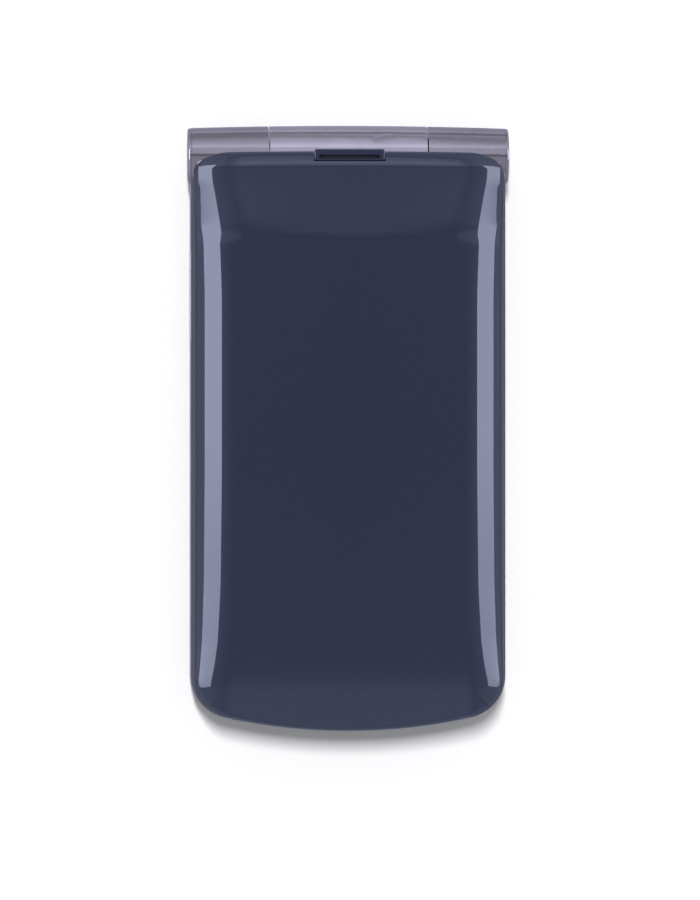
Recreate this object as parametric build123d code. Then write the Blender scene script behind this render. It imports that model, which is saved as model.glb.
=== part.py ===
# Clamshell mobile phone, closed, lying on its back with the lid up.
# +X runs across the phone, +Y towards the hinge and +Z up through the lid.
# The origin is on the table, under the middle of the phone. Sizes are in millimetres.
#
# The base lies on the table: a rear case with a snap-on battery cover, a metallised frame band that
# carries the middle hinge barrel, and the keypad. The lid carries the two outer hinge knuckles, the
# glossy outer cover and the display. Each function below makes one piece that comes apart on a bench.

from build123d import *

import os
from math import atan, cos, pi, sin, sqrt

# Overall sizes
body_width = 51.0
base_height = 9.2
lid_height = 6.6
lid_gap = 0.3

# Outline seen from above
end_radius = 92.0
low_corner_radius = 7.0
top_corner_width = 6.0
top_corner_length = 4.0

# Hinge
barrel_radius = 4.9
barrel_crown = 0.4
barrel_half = 12.75
barrel_side_gap = 0.2
knuckle_inset = 0.05
swing_gap = 0.25
cap_proud = 0.5
cap_radius = 4.45
cap_edge = 0.3
housing_radius = 2.9
housing_wall = 0.5
shaft_radius = 0.9
cam_radius = 2.2
cam_thickness = 1.4
cam_plug_radius = 2.6
cam_plug_length = 5.2
bush_inner_radius = 1.75
bush_reach = 3.8
flex_roll_radius = 1.3
flex_thickness = 0.2
flex_width = 5.6
flex_pad_length = 4.0
flex_side_gap = 1.25
running_clearance = 0.05

# Frames: the metallised bands round both halves
frame_wall = 1.6
lid_frame_height = 1.9
base_frame_height = 3.6
frame_edge = 0.25
crossbar = 1.0

# Lid cover
cover_step = 0.25
cover_wall = 1.0
cover_end_wall = 1.3
lid_shoulder_width = 6.0
lid_shoulder_height = 3.9
lid_crown = 0.2
lid_end_length = 7.6
lid_end_height = 3.5
lid_corner_rounding = 3.0
cover_past_axis = 0.6
crease_from_axis = 13.2
hump_blend = 5.0
hump_rise = 0.7
hump_shoulder_width = 4.0
cover_rim_radius = 1.9

# Rear case and battery cover
rear_shoulder_width = 4.6
rear_shoulder_height = 3.6
rear_end_length = 5.5
rear_end_height = 3.6
rear_corner_rounding = 2.6
rear_slope_from_axis = 13.0
rear_slope_rise = 1.7
rear_slope_past_axis = 2.0
rear_past_axis = 0.3
rear_rim_radius = 1.4
rear_wall = 1.4
battery_cover_wall = 1.0
battery_cover_height = 4.4
cover_seam = 0.1
notch_width = 12.0
notch_depth = 1.2

# Lengths along the base, from its low end to the hinge's axis, which add up to the phone's length
battery_low_gap = 7.5
battery_length = 51.8
contact_depth = 2.0
radio_length = 32.0

# Battery bay
battery_width = 35.8
battery_thickness = 3.9
battery_corner = 1.2
battery_clearance = 0.2
bay_ceiling = 0.6
side_pocket_wall = 1.4
side_pocket_end_gap = 3.0
side_pocket_low_gap = 12.1
side_pocket_floor = 2.4
contact_pitch = 4.0
contact_count = 3
contact_width = 1.6
contact_height = 2.0

# Boards, domes and keymat
fit_gap = 0.1
board_thickness = 0.7
board_side_gap = 5.9
board_low_gap = 7.1
dome_thickness = 0.25
dome_radius = 1.9
keymat_thickness = 0.17
keymat_margin = 1.3
key_travel = 0.3

# Keypad
plate_recess = 0.2
plate_thickness = 0.8
key_clearance = 0.15
key_flange = 0.4
key_flange_height = 0.45
key_proud = 0.1
key_edge = 0.25
keypad_side_gap = 3.45
key_gap_x = 1.1
key_gap_y = 1.6
digit_rows = 4
keypad_low_gap = 14.8
keypad_high_gap = 8.05
clear_key_width = 13.0
clear_key_height = 3.5
nav_radius = 9.4
nav_gap = 1.2
nav_side_gap = 1.4
ok_radius = 4.3
function_key_height = 8.6

# Side keys
side_key_height = 1.4
side_key_proud = 0.15
side_key_above_split = 0.8
side_key_clearance = 0.1
side_key_flange = 0.5
side_key_room = 0.35
rocker_length = 14.8
rocker_from_axis = 22.7
camera_key_length = 8.0
camera_key_from_axis = 24.2

# Charging port
port_width = 7.6
port_height = 2.0
port_depth = 5.2
port_wall = 0.25
port_clearance = 0.15
port_above_split = 0.5
port_cover_width = 10.2
port_cover_thickness = 0.7
port_cover_height = 2.3

# Screws
screw_side_gap = 3.4
lid_screw_low_gap = 9.1
lid_screw_high_gap = 5.05
base_screw_low_gap = 7.1
base_screw_high_gap = 4.05
screw_shank_radius = 0.7
screw_head_radius = 1.35
screw_head_height = 0.7
low_screw_head_z = 2.2
high_screw_head_z = 1.4
lid_boss_radius = 1.7
base_boss_radius = 2.0
head_cover = 0.5

# Display side of the lid
bezel_recess = 0.1
bezel_thickness = 1.6
window_side_gap = 5.2
window_low_gap = 16.1
window_high_gap = 11.05
window_thickness = 0.9
window_corner = 1.5
view_margin = 2.2
panel_thickness = 1.9
panel_margin = 0.8
earpiece_low_gap = 9.6
earpiece_slot_length = 9.0
earpiece_slot_width = 1.4
earpiece_width = 12.0
earpiece_length = 7.0
earpiece_height = 2.2
grille_thickness = 0.3
bumper_width = 5.0
bumper_length = 1.6
bumper_x = 13.0
bumper_low_gap = 4.7
bumper_pocket = 0.4

# Ringer and its slot at the hinge end of the lid cover
slot_tab_width = 11.4
slot_tab_proud = 0.3
slot_tab_depth = 1.9
slot_tab_height = 1.9
slot_width = 9.9
slot_height = 0.64
slot_front_wall = 0.32
slot_mesh_thickness = 0.2
ringer_width = 18.0
ringer_length = 9.0
ringer_height = 2.9
motor_radius = 4.0
motor_height = 2.6
motor_gap = 1.4

# Camera and radio parts in the base
lens_panel_width = 38.4
lens_panel_tip = 0.7
lens_panel_length = 12.2
lens_panel_thickness = 0.8
lens_panel_recess = 0.15
camera_gap = 3.7
camera_width = 8.4
camera_lens_radius = 3.3
camera_lens_recess = 0.15
shield_width = 13.0
shield_length = 14.0
shield_height = 2.3
shield_wall = 0.25
shield_forward = 4.0
antenna_length = 30.0
antenna_width = 3.6
antenna_height = 2.2
microphone_x = -11.0
microphone_low_gap = 8.9
microphone_radius = 1.6
microphone_hole_radius = 0.5

# Places that follow from the sizes above
phone_length = battery_low_gap + battery_length + contact_depth + radio_length + barrel_radius
y_low = -phone_length / 2
hinge_y = phone_length / 2 - barrel_radius
hinge_z = base_height + lid_gap / 2
half_width = body_width / 2
lid_bottom = base_height + lid_gap
lid_split = lid_bottom + lid_frame_height
lid_top = lid_bottom + lid_height
base_split = base_height - base_frame_height
crossbar_y = hinge_y - barrel_radius - swing_gap - crossbar
knuckle_x = barrel_half + barrel_side_gap
flex_centre_x = knuckle_x + flex_side_gap + flex_width / 2
cover_end_y = hinge_y + cover_past_axis
crease_y = hinge_y - crease_from_axis
swing_radius = barrel_radius + swing_gap
bezel_z = lid_bottom + bezel_recess
bezel_top = bezel_z + bezel_thickness
battery_z = battery_cover_wall + battery_clearance
bay_top = battery_z + battery_thickness + fit_gap
board_z = bay_top + bay_ceiling + fit_gap
dome_z = board_z + board_thickness + 0.02
keymat_z = dome_z + dome_thickness + 0.03
key_z = keymat_z + keymat_thickness + key_travel + 0.05
plate_top = base_height - plate_recess
plate_z = plate_top - plate_thickness
battery_y = y_low + battery_low_gap + battery_length / 2
battery_cover_line = battery_y + battery_length / 2 + contact_depth
camera_y = battery_cover_line + camera_gap + lens_panel_length / 2
board_half_width = half_width - board_side_gap
window_width = body_width - 2 * window_side_gap
window_length = crossbar_y - window_high_gap - y_low - window_low_gap
window_y = y_low + window_low_gap + window_length / 2
earpiece_y = y_low + earpiece_low_gap
motor_x = earpiece_width / 2 + motor_gap + motor_radius
bumper_y = y_low + bumper_low_gap
screw_x = half_width - screw_side_gap
lid_screw_low_y = y_low + lid_screw_low_gap
lid_screw_high_y = crossbar_y - lid_screw_high_gap
base_screw_low_y = y_low + base_screw_low_gap
base_screw_high_y = crossbar_y - base_screw_high_gap
microphone_y = y_low + microphone_low_gap
digit_pitch_x = (body_width - 2 * keypad_side_gap) / 3
digit_key_width = digit_pitch_x - key_gap_x
nav_y = crossbar_y - keypad_high_gap - nav_radius
clear_key_y = nav_y - nav_radius - nav_gap - clear_key_height / 2
digits_top = clear_key_y - clear_key_height / 2 - key_gap_y
digit_pitch_y = (digits_top - y_low - keypad_low_gap + key_gap_y) / digit_rows
digit_key_height = digit_pitch_y - key_gap_y
digit_top_y = digits_top - digit_key_height / 2
digit_low_y = digit_top_y - (digit_rows - 1) * digit_pitch_y
function_key_side = half_width - keypad_side_gap - key_gap_x / 2
function_key_width = function_key_side - nav_radius - nav_side_gap
function_key_x = function_key_side - function_key_width / 2
call_key_y = nav_y - (function_key_height + key_gap_y) / 2
soft_key_y = nav_y + (function_key_height + key_gap_y) / 2
rocker_y = hinge_y - rocker_from_axis
camera_key_y = hinge_y - camera_key_from_axis
side_key_z = base_split + side_key_above_split
port_z = base_split + port_above_split
flex_z = lid_split + fit_gap


# Building blocks

def block(x0, x1, y0, y1, z0, z1):
    """Box between two corners."""
    centre = ((x0 + x1) / 2, (y0 + y1) / 2, (z0 + z1) / 2)
    return Pos(*centre) * Box(x1 - x0, y1 - y0, z1 - z0)


def disc(x, y, z0, z1, radius):
    """Upright round piece."""
    return Pos(x, y, (z0 + z1) / 2) * Cylinder(radius, z1 - z0)


def on_axis(x0, x1, radius):
    """Round piece along the hinge axis."""
    return Pos((x0 + x1) / 2, hinge_y, hinge_z) * Rot(0, 90, 0) * Cylinder(radius, x1 - x0)


def prism(sketch, z0, z1):
    """Upright walls on a flat sketch."""
    return Pos(0, 0, z0) * extrude(sketch, z1 - z0)


def rounded_block(x, y, width, length, z0, z1, corner):
    """Upright block with round corners, centred on x and y."""
    return prism(Pos(x, y) * RectangleRounded(width, length, corner), z0, z1)


def fused(shapes):
    """One solid from several that meet."""
    whole = shapes[0]
    for shape in shapes[1:]:
        whole = whole + shape
    return whole


def plan(inset, top, round_top=False):
    """The phone's outline from above: straight sides and a bowed low end, moved in by inset."""
    half = half_width - inset
    arc_radius = end_radius - inset
    arc_y = y_low + end_radius
    low_side = arc_y - sqrt(arc_radius**2 - half**2)
    low_arc = ThreePointArc((-half, low_side), (0, arc_y - arc_radius), (half, low_side))
    width, length = (top_corner_width, top_corner_length) if round_top else (0.0, 0.0)
    edges = [
        low_arc,
        Line((half, low_side), (half, top - length)),
        Line((half - width, top), (width - half, top)),
        Line((-half, top - length), (-half, low_side)),
    ]
    if round_top:
        edges.append(top_corner(half, top, 1))
        edges.append(top_corner(half, top, -1))
    sketch = make_face(edges)
    return fillet(sketch.vertices().group_by(Axis.Y)[0], low_corner_radius - inset)


def top_corner(half, top, side):
    """Elliptical corner of the outline at its hinge end, on the right or left side."""
    width, length = top_corner_width, top_corner_length
    pull = 0.5523
    return Bezier(
        (side * half, top - length),
        (side * half, top - length + pull * length),
        (side * (half - width + pull * width), top),
        (side * (half - width), top),
    )


def across(y):
    """Plane that cuts across the phone at y: its x is +X and its y is +Z."""
    return Plane(origin=(0, y, 0), x_dir=(1, 0, 0), z_dir=(0, -1, 0))


def shoulder_curve(start, end, start_tilt):
    """Soft quarter turn from a nearly level face at start to an upright wall at end."""
    run, drop = end[0] - start[0], start[1] - end[1]
    pull = 0.56
    level = (start[0] + pull * run * cos(start_tilt), start[1] - pull * run * sin(start_tilt))
    upright = (end[0], end[1] + pull * drop)
    return [start, level, upright, end]


def face_section(half, height, shoulder_width, shoulder_height, crown):
    """Cross-section of a half of the phone, from its parting plane at 0 up to its face."""
    flat_half = half - shoulder_width
    tilt = 2 * atan(crown / flat_half) if crown else 0.0
    right = shoulder_curve((flat_half, height - crown), (half, height - shoulder_height), tilt)
    left = [(-x, z) for x, z in reversed(right)]
    top = ThreePointArc(right[0], (0, height), left[-1]) if crown else Line(right[0], left[-1])
    return make_face(
        [
            Line((-half, 0), (half, 0)),
            Line((half, 0), right[-1]),
            Bezier(*reversed(right)),
            top,
            Bezier(*reversed(left)),
            Line(left[0], (-half, 0)),
        ]
    )


def low_end_form(inset, height, end_length, end_height):
    """Disc whose rim is the bowed low end of the phone, curved down from the face to the wall."""
    rim = end_radius - inset
    curve = shoulder_curve((rim - end_length, height), (rim, height - end_height), 0.0)
    profile = make_face(
        [
            Line((0, 0), (rim, 0)),
            Line((rim, 0), curve[-1]),
            Bezier(*reversed(curve)),
            Line(curve[0], (0, height)),
            Line((0, height), (0, 0)),
        ]
    )
    turned = revolve(Plane.XZ * profile, Axis.Z, 360)
    return Pos(0, y_low + end_radius, 0) * turned


def low_side(end_y, top):
    """Everything on the low side of end_y, from 0 up to top."""
    return block(-body_width, body_width, y_low - 5, end_y, 0, top)


def lid_form(inset, hinge_trim):
    """Outer form of the lid cover moved in by inset, on its parting plane at 0.

    Its face is flat up to a crease, and then rises to the hinge, where the shoulders are tighter.
    The shape of its hinge end is what hinge_trim leaves."""
    half = half_width - cover_step - inset
    height = lid_top - lid_split - inset
    drop = lid_shoulder_height - inset / 2
    main = face_section(half, height, lid_shoulder_width - inset / 2, drop, lid_crown)
    blend = face_section(
        half,
        height + hump_rise * hump_blend / crease_from_axis,
        hump_shoulder_width,
        drop,
        lid_crown,
    )
    hinge_end = face_section(half, height + hump_rise, hump_shoulder_width, drop, lid_crown)
    over = 2.0
    flat = extrude(across(y_low - over) * main, crease_y - y_low + over, dir=(0, 1, 0))
    stations = [
        across(crease_y) * main,
        across(crease_y + hump_blend) * blend,
        across(cover_end_y + over) * hinge_end,
    ]
    rising = loft(stations, ruled=True)
    end = cover_step + inset
    low_end = low_end_form(end, height + 0.01, lid_end_length - inset / 2, lid_end_height)
    soft = softened(plan(end, crease_y + over), height + 0.02, lid_corner_rounding - inset)
    return (flat & low_end & soft) + (rising & hinge_trim)


def rear_form(inset, hinge_trim):
    """Outer form of the base below its parting plane, moved in by inset.

    It is flat where the phone lies on a table, and slopes up towards the hinge, where its shape is
    what hinge_trim leaves."""
    half = half_width - inset
    height = base_split - inset
    slope_y = hinge_y - rear_slope_from_axis
    drop = rear_shoulder_height - inset / 2
    side = rear_shoulder_width - inset / 2
    main = face_section(half, height, side, drop, 0.0)
    raised = face_section(half, height - rear_slope_rise, side, drop - rear_slope_rise, 0.0)
    over = 2.0
    flat = extrude(across(y_low - over) * main, slope_y - y_low + over, dir=(0, 1, 0))
    slope_end = across(hinge_y + rear_slope_past_axis) * raised
    sloped = loft([across(slope_y) * main, slope_end], ruled=True)
    low_end = low_end_form(inset, height + 0.01, rear_end_length - inset / 2, rear_end_height)
    soft = softened(plan(inset, slope_y + over), height + 0.02, rear_corner_rounding - inset)
    whole = (flat & low_end & soft) + (sloped & hinge_trim)
    return Pos(0, 0, base_split) * mirror(whole, about=Plane.XY)


def softened(outline, height, radius):
    """Upright walls on an outline, with the edges round their top rounded."""
    solid = prism(outline, 0, height)
    return fillet(solid.edges().group_by(Axis.Z)[-1], radius)


def crowned_radius(x):
    """Radius of the hinge barrel at x: largest in the middle of the phone."""
    return barrel_radius - barrel_crown * (x / half_width) ** 2


def barrel_form(x0, x1, extra=0.0):
    """Length of the crowned hinge barrel from x0 to x1, larger by extra."""
    middle = (x0 + x1) / 2
    radii = [crowned_radius(x) + extra for x in (x0, middle, x1)]
    profile = make_face(
        [
            Line((x0, 0), (x0, radii[0])),
            ThreePointArc((x0, radii[0]), (middle, radii[1]), (x1, radii[2])),
            Line((x1, radii[2]), (x1, 0)),
            Line((x1, 0), (x0, 0)),
        ]
    )
    at_axis = Plane(origin=(0, hinge_y, hinge_z), x_dir=(1, 0, 0), z_dir=(0, -1, 0))
    return revolve(at_axis * profile, Axis((0, hinge_y, hinge_z), (1, 0, 0)), 360)


def knuckle_swing():
    """Room in the base for the lid's two knuckles to turn."""
    reach = half_width + 1.0
    return [on_axis(barrel_half, reach, swing_radius), on_axis(-reach, -barrel_half, swing_radius)]


def barrel_swing():
    """Room in the lid for the base's middle barrel to turn."""
    return on_axis(-knuckle_x, knuckle_x, swing_radius)


def flex_slot():
    """Way for the flat cable from the right knuckle's bore into the lid."""
    half = flex_width / 2 + 0.3
    return block(
        flex_centre_x - half,
        flex_centre_x + half,
        crossbar_y - 1.0,
        hinge_y + 0.4,
        flex_z - 0.2,
        flex_z + 0.6,
    )


# Lid

def lid_frame():
    """Metallised band of the lid, with both outer knuckles."""
    band = prism(plan(0, hinge_y), lid_bottom, lid_split)
    band = fillet(band.edges().group_by(Axis.Z)[0], frame_edge)
    opening = prism(plan(frame_wall, crossbar_y), lid_bottom - 1, lid_split + 1)
    knuckle_end = half_width - knuckle_inset
    body = (band - opening) + barrel_form(-knuckle_end, knuckle_end) - barrel_swing()
    for side in (1, -1):
        x0, x1 = sorted((side * (knuckle_x - 1), side * (half_width + 1)))
        body = body - on_axis(x0, x1, housing_radius)
    return body - flex_slot()


def lid_outer_cover():
    """Glossy shell over the lid, notched for the ringer slot and curved round the barrel."""
    top = lid_top + hump_rise - lid_split
    outline = plan(cover_step, cover_end_y, round_top=True)
    outer = lid_form(0, softened(outline, top + 0.02, cover_rim_radius))
    inner = lid_form(cover_wall, low_side(cover_end_y - cover_end_wall, 2 * lid_height))
    shell = outer - inner
    for x, y in lid_screw_places():
        shell = shell + (disc(x, y, 0, top, lid_boss_radius) & outer)
    for x, y in lid_screw_places():
        hole = disc(x, y, -1, lid_screw_tip() + 0.2 - lid_split, screw_shank_radius + 0.05)
        shell = shell - hole
    shell = Pos(0, 0, lid_split) * shell
    for side in (1, -1):
        x0, x1 = sorted((side * (knuckle_x - 1), side * (half_width + 1)))
        shell = shell - barrel_form(x0, x1, running_clearance)
    return shell - barrel_swing() - slot_tab_room()


def rounded_end(end_y, top, radius):
    """Block that ends at end_y with its upper edge there rounded, to trim a hinge end."""
    solid = block(-body_width, body_width, y_low - 5, end_y, -1, top)
    edge = solid.edges().filter_by(Axis.X).group_by(Axis.Y)[-1].sort_by(Axis.Z)[-1]
    return fillet(edge, radius)


def lid_screw_places():
    return [(x, y) for x in (screw_x, -screw_x) for y in (lid_screw_low_y, lid_screw_high_y)]


def lid_screw_tip():
    return lid_top - cover_wall - 1.9


def slot_tab_room():
    """Notch in the cover's hinge end for the ringer slot's insert."""
    half = slot_tab_width / 2 + fit_gap
    front = cover_end_y + slot_tab_proud - slot_tab_depth - fit_gap
    return block(-half, half, front, cover_end_y + 3, hinge_z, lid_top + 3)


def slot_tab_z():
    return lid_top + hump_rise - cover_rim_radius / 3


def slot_y():
    """Middle of the ringer slot, which lies near the insert's front."""
    front = cover_end_y + slot_tab_proud - slot_tab_depth
    return front + slot_front_wall + slot_height / 2


def slot_trim():
    """Insert with the ringer slot, set into the notch at the cover's hinge end."""
    top = slot_tab_z()
    low = hinge_z + swing_radius + fit_gap
    y1 = cover_end_y + slot_tab_proud
    y0 = y1 - slot_tab_depth
    tab = rounded_block(0, (y0 + y1) / 2, slot_tab_width, slot_tab_depth, low, top, 0.35)
    tab = fillet(tab.faces().sort_by(Axis.Z)[-1].edges(), 0.2)
    slot = rounded_block(
        0, slot_y(), slot_width, slot_height, low - 1, top + 1, slot_height / 2 - 0.01
    )
    ledge = rounded_block(
        0, slot_y(), slot_width + 0.4, slot_height + 0.4, low - 1, low + 0.5, 0.3
    )
    return tab - slot - ledge


def slot_mesh():
    """Fine dark mesh behind the ringer slot."""
    low = hinge_z + swing_radius + fit_gap
    z1 = low + 0.5
    return rounded_block(
        0, slot_y(), slot_width + 0.3, slot_height + 0.3, z1 - slot_mesh_thickness, z1, 0.25
    )


def lid_inner_bezel():
    """Panel round the display, on the side that faces the keys."""
    panel = prism(plan(frame_wall + fit_gap, crossbar_y - fit_gap), bezel_z, bezel_top)
    pocket = rounded_block(
        0,
        window_y,
        window_width,
        window_length,
        bezel_z - 1,
        bezel_z + window_thickness,
        window_corner,
    )
    view = rounded_block(
        0,
        window_y,
        window_width - 2 * view_margin,
        window_length - 2 * view_margin,
        bezel_z,
        bezel_top + 1,
        0.6,
    )
    ear = rounded_block(
        0,
        earpiece_y,
        earpiece_slot_length,
        earpiece_slot_width,
        bezel_z - 1,
        bezel_top + 1,
        earpiece_slot_width / 2 - 0.01,
    )
    panel = panel - pocket - view - ear
    for x, y in lid_screw_places():
        head_room = head_cover + screw_head_height
        panel = panel - disc(x, y, bezel_z - 1, bezel_z + head_room, screw_head_radius + 0.1)
        panel = panel - disc(x, y, bezel_z, bezel_top + 1, screw_shank_radius + 0.1)
    for x in (bumper_x, -bumper_x):
        panel = panel - block(
            x - bumper_width / 2,
            x + bumper_width / 2,
            bumper_y - bumper_length / 2,
            bumper_y + bumper_length / 2,
            bezel_z - 1,
            bezel_z + bumper_pocket,
        )
    return panel


def display_window():
    """Clear window in front of the display."""
    return rounded_block(
        0,
        window_y,
        window_width - 2 * fit_gap,
        window_length - 2 * fit_gap,
        bezel_z + 0.02,
        bezel_z + window_thickness,
        window_corner,
    )


def display_panel():
    """Display module behind the window."""
    return rounded_block(
        0,
        window_y,
        window_width - 2 * panel_margin,
        window_length - 2 * panel_margin,
        bezel_top,
        bezel_top + panel_thickness,
        0.5,
    )


def lid_circuit_board():
    """Board on the back of the display."""
    z0 = bezel_top + panel_thickness + fit_gap
    return rounded_block(
        0,
        window_y,
        window_width - 2 * panel_margin,
        window_length - 2 * panel_margin,
        z0,
        z0 + board_thickness,
        1.0,
    )


def earpiece_speaker():
    return rounded_block(
        0, earpiece_y, earpiece_width, earpiece_length, bezel_top, bezel_top + earpiece_height, 1.5
    )


def earpiece_grille():
    """Mesh strip in the earpiece slot."""
    z0 = bezel_z + 0.2
    return rounded_block(
        0,
        earpiece_y,
        earpiece_slot_length - 0.04,
        earpiece_slot_width - 0.04,
        z0,
        z0 + grille_thickness,
        earpiece_slot_width / 2 - 0.04,
    )


def ringer_speaker():
    """Loudspeaker under the raised hinge end of the cover."""
    y = crossbar_y - fit_gap - ringer_length / 2
    return rounded_block(
        0, y, ringer_width, ringer_length, bezel_top, bezel_top + ringer_height, 2.0
    )


def vibration_motor():
    """Coin motor beside the earpiece."""
    return disc(motor_x, earpiece_y, bezel_top, bezel_top + motor_height, motor_radius)


def lid_screws():
    """Four screws from the display side up into the cover's bosses."""
    head_z = bezel_z + head_cover
    shank_z = head_z + screw_head_height
    return [
        disc(x, y, head_z, shank_z, screw_head_radius)
        + disc(x, y, shank_z, lid_screw_tip(), screw_shank_radius)
        for x, y in lid_screw_places()
    ]


def lid_screw_caps():
    """Soft plugs over the four lid screws."""
    return [
        disc(x, y, bezel_z, bezel_z + head_cover - 0.02, screw_head_radius)
        for x, y in lid_screw_places()
    ]


def lid_bumpers():
    """Two soft pads that the closed lid rests on."""
    return [
        rounded_block(
            x,
            bumper_y,
            bumper_width - 0.1,
            bumper_length - 0.1,
            plate_top + 0.03,
            bezel_z + bumper_pocket,
            0.6,
        )
        for x in (bumper_x, -bumper_x)
    ]


# Hinge

def hinge_caps():
    """Round covers on the ends of the knuckles, each with a spigot in the bore."""
    def cap(side):
        x0, x1 = sorted((side * half_width, side * (half_width + cap_proud)))
        plate = on_axis(x0, x1, cap_radius)
        outer_face = plate.faces().sort_by(Axis.X)[-1 if side > 0 else 0]
        plate = fillet(outer_face.edges(), cap_edge)
        s0, s1 = sorted((side * (half_width - 1.2), side * half_width))
        return plate + on_axis(s0, s1, housing_radius - running_clearance)

    return [cap(1), cap(-1)]


def hinge_housing():
    """Steel tube in the left knuckle that holds the hinge's spring and cam follower."""
    x0, x1 = -(half_width - 1.4), -knuckle_x
    tube = on_axis(x0, x1, housing_radius - 0.02)
    hollow = on_axis(x0 + 0.8, x1 + 1, housing_radius - housing_wall)
    return tube - hollow - on_axis(x0 - 1, x1, shaft_radius + running_clearance)


def follower_x():
    """Left and right ends of the cam follower."""
    right = -knuckle_x - cam_thickness - 0.1
    return right - 2.4, right


def hinge_spring():
    """Coil spring that pushes the cam follower against the cam."""
    x0 = -(half_width - 1.4) + 0.8 + 0.1
    x1 = follower_x()[0] - 0.1
    wire = 0.25
    mean_radius = 1.62
    turns = 6
    pitch = (x1 - x0 - 2 * wire - 0.1) / turns
    path = Helix(pitch, pitch * turns, mean_radius)
    start = path @ 0
    coil = sweep(Plane(start, z_dir=path % 0) * Circle(wire), path=path)
    turned = Rot(0, 90, 0) * coil
    return Pos(x0 + wire + 0.05, hinge_y, hinge_z) * turned


def hinge_follower():
    """Cam follower, free to slide in the housing and turned by it."""
    x0, x1 = follower_x()
    body = on_axis(x0, x1, cam_radius + 0.1)
    return body - on_axis(x0 - 1, x1 + 1, shaft_radius + running_clearance)


def hinge_cam():
    """Cam and shaft, keyed into the base's middle barrel."""
    plug_x0 = -barrel_half
    cam_x0 = -knuckle_x - cam_thickness
    shaft = on_axis(-(half_width - 1.4), cam_x0, shaft_radius)
    cam = on_axis(cam_x0, plug_x0, cam_radius)
    plug = on_axis(plug_x0, plug_x0 + cam_plug_length, cam_plug_radius - 0.02)
    return fused([plug, cam, shaft])


def hinge_bush():
    """Hollow pivot in the right knuckle, which turns in the middle barrel."""
    x0, x1 = barrel_half - bush_reach, half_width - 1.4
    sleeve = on_axis(x0, x1, housing_radius - 0.02)
    sleeve = sleeve - on_axis(x0 - 1, x1 + 1, bush_inner_radius)
    half = flex_width / 2 + 0.3
    way_out = block(
        flex_centre_x - half,
        flex_centre_x + half,
        hinge_y - housing_radius - 1,
        hinge_y + 0.4,
        hinge_z,
        hinge_z + housing_radius + 1,
    )
    return sleeve - way_out


def flex_cable():
    """Flat cable: rolled up in the hollow pivot, then led into the lid and onto its board."""
    x0, x1 = flex_centre_x - flex_width / 2, flex_centre_x + flex_width / 2
    board_edge = window_y + window_length / 2 - panel_margin
    board_top = bezel_top + panel_thickness + fit_gap + board_thickness
    roll = on_axis(barrel_half - bush_reach - 2, flex_centre_x + flex_width / 2, flex_roll_radius)
    riser = block(x0, x1, hinge_y, hinge_y + flex_thickness, hinge_z, flex_z + flex_thickness)
    run = block(x0, x1, board_edge + 0.2, hinge_y + flex_thickness, flex_z, flex_z + flex_thickness)
    step = block(
        x0,
        x1,
        board_edge + 0.2,
        board_edge + 0.2 + flex_thickness,
        flex_z,
        board_top + fit_gap + flex_thickness,
    )
    pad = block(
        x0,
        x1,
        board_edge - flex_pad_length,
        board_edge + 0.2 + flex_thickness,
        board_top + fit_gap,
        board_top + fit_gap + flex_thickness,
    )
    return fused([roll, riser, run, step, pad])


# Base

def side_window(side, y, length):
    """Opening in the base frame's side for a side key."""
    x0, x1 = sorted((side * (half_width - frame_wall - 1), side * (half_width + 1)))
    reach = length / 2 + side_key_clearance
    return block(
        x0,
        x1,
        y - reach,
        y + reach,
        side_key_z - side_key_clearance,
        side_key_z + side_key_height + side_key_clearance,
    )


def port_cover_room(clearance):
    """Space of the charging port's flap in the low end of the frame, grown by clearance."""
    half = port_cover_width / 2 + clearance
    middle = port_z + port_height / 2
    rise = port_cover_height / 2 + clearance
    return block(
        -half, half, y_low - 1, port_cover_back() + clearance, middle - rise, middle + rise
    )


def port_cover_back():
    """Inner face of the charging port's flap, which has its full thickness at its left end."""
    return y_low + end_bow(port_cover_width / 2) + port_cover_thickness


def end_bow(x):
    """How far the low end's outline lies inside its foremost point, at x."""
    return end_radius - sqrt(end_radius**2 - x**2)


def base_frame():
    """Metallised band of the base, with the hinge's middle barrel."""
    band = prism(plan(0, hinge_y), base_split, base_height)
    band = fillet(band.edges().group_by(Axis.Z)[-1], frame_edge)
    opening = prism(plan(frame_wall, crossbar_y), base_split - 1, base_height + 1)
    swings = knuckle_swing()
    inside = prism(plan(frame_wall / 2, crossbar_y + crossbar / 2), base_split, base_height)
    bosses = [
        disc(x, y, base_split, plate_z - fit_gap, base_boss_radius) & inside
        for x, y in base_screw_places()
    ]
    body = (band - opening) + barrel_form(-knuckle_x, knuckle_x) - swings[0] - swings[1]
    body = fused([body, *bosses])
    for x, y in base_screw_places():
        body = body - disc(x, y, base_split - 1, base_screw_tip() + 0.2, screw_shank_radius + 0.05)
    body = body - on_axis(-barrel_half - 1, -barrel_half + cam_plug_length, cam_plug_radius)
    body = body - on_axis(barrel_half - bush_reach - 0.2, barrel_half + 1, bush_bore_radius())
    body = body - on_axis(
        barrel_half - bush_reach - 2.3, barrel_half - bush_reach, bush_inner_radius
    )
    body = body - side_window(-1, rocker_y, rocker_length)
    body = body - side_window(1, camera_key_y, camera_key_length)
    body = body - port_cover_room(fit_gap)
    half = port_width / 2 + port_clearance
    z0, z1 = port_z - port_clearance, port_z + port_height + port_clearance
    return body - block(-half, half, y_low - 1, y_low + frame_wall + 2, z0, z1)


def bush_bore_radius():
    return housing_radius - 0.02 + running_clearance


def base_screw_places():
    return [(x, y) for x in (screw_x, -screw_x) for y in (base_screw_low_y, base_screw_high_y)]


def base_screw_tip():
    return plate_z - 0.9


def base_screw_head_z(y):
    """Underside of a screw's head: deeper where the battery cover lies over it."""
    return low_screw_head_z if y < battery_cover_line else high_screw_head_z


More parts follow.
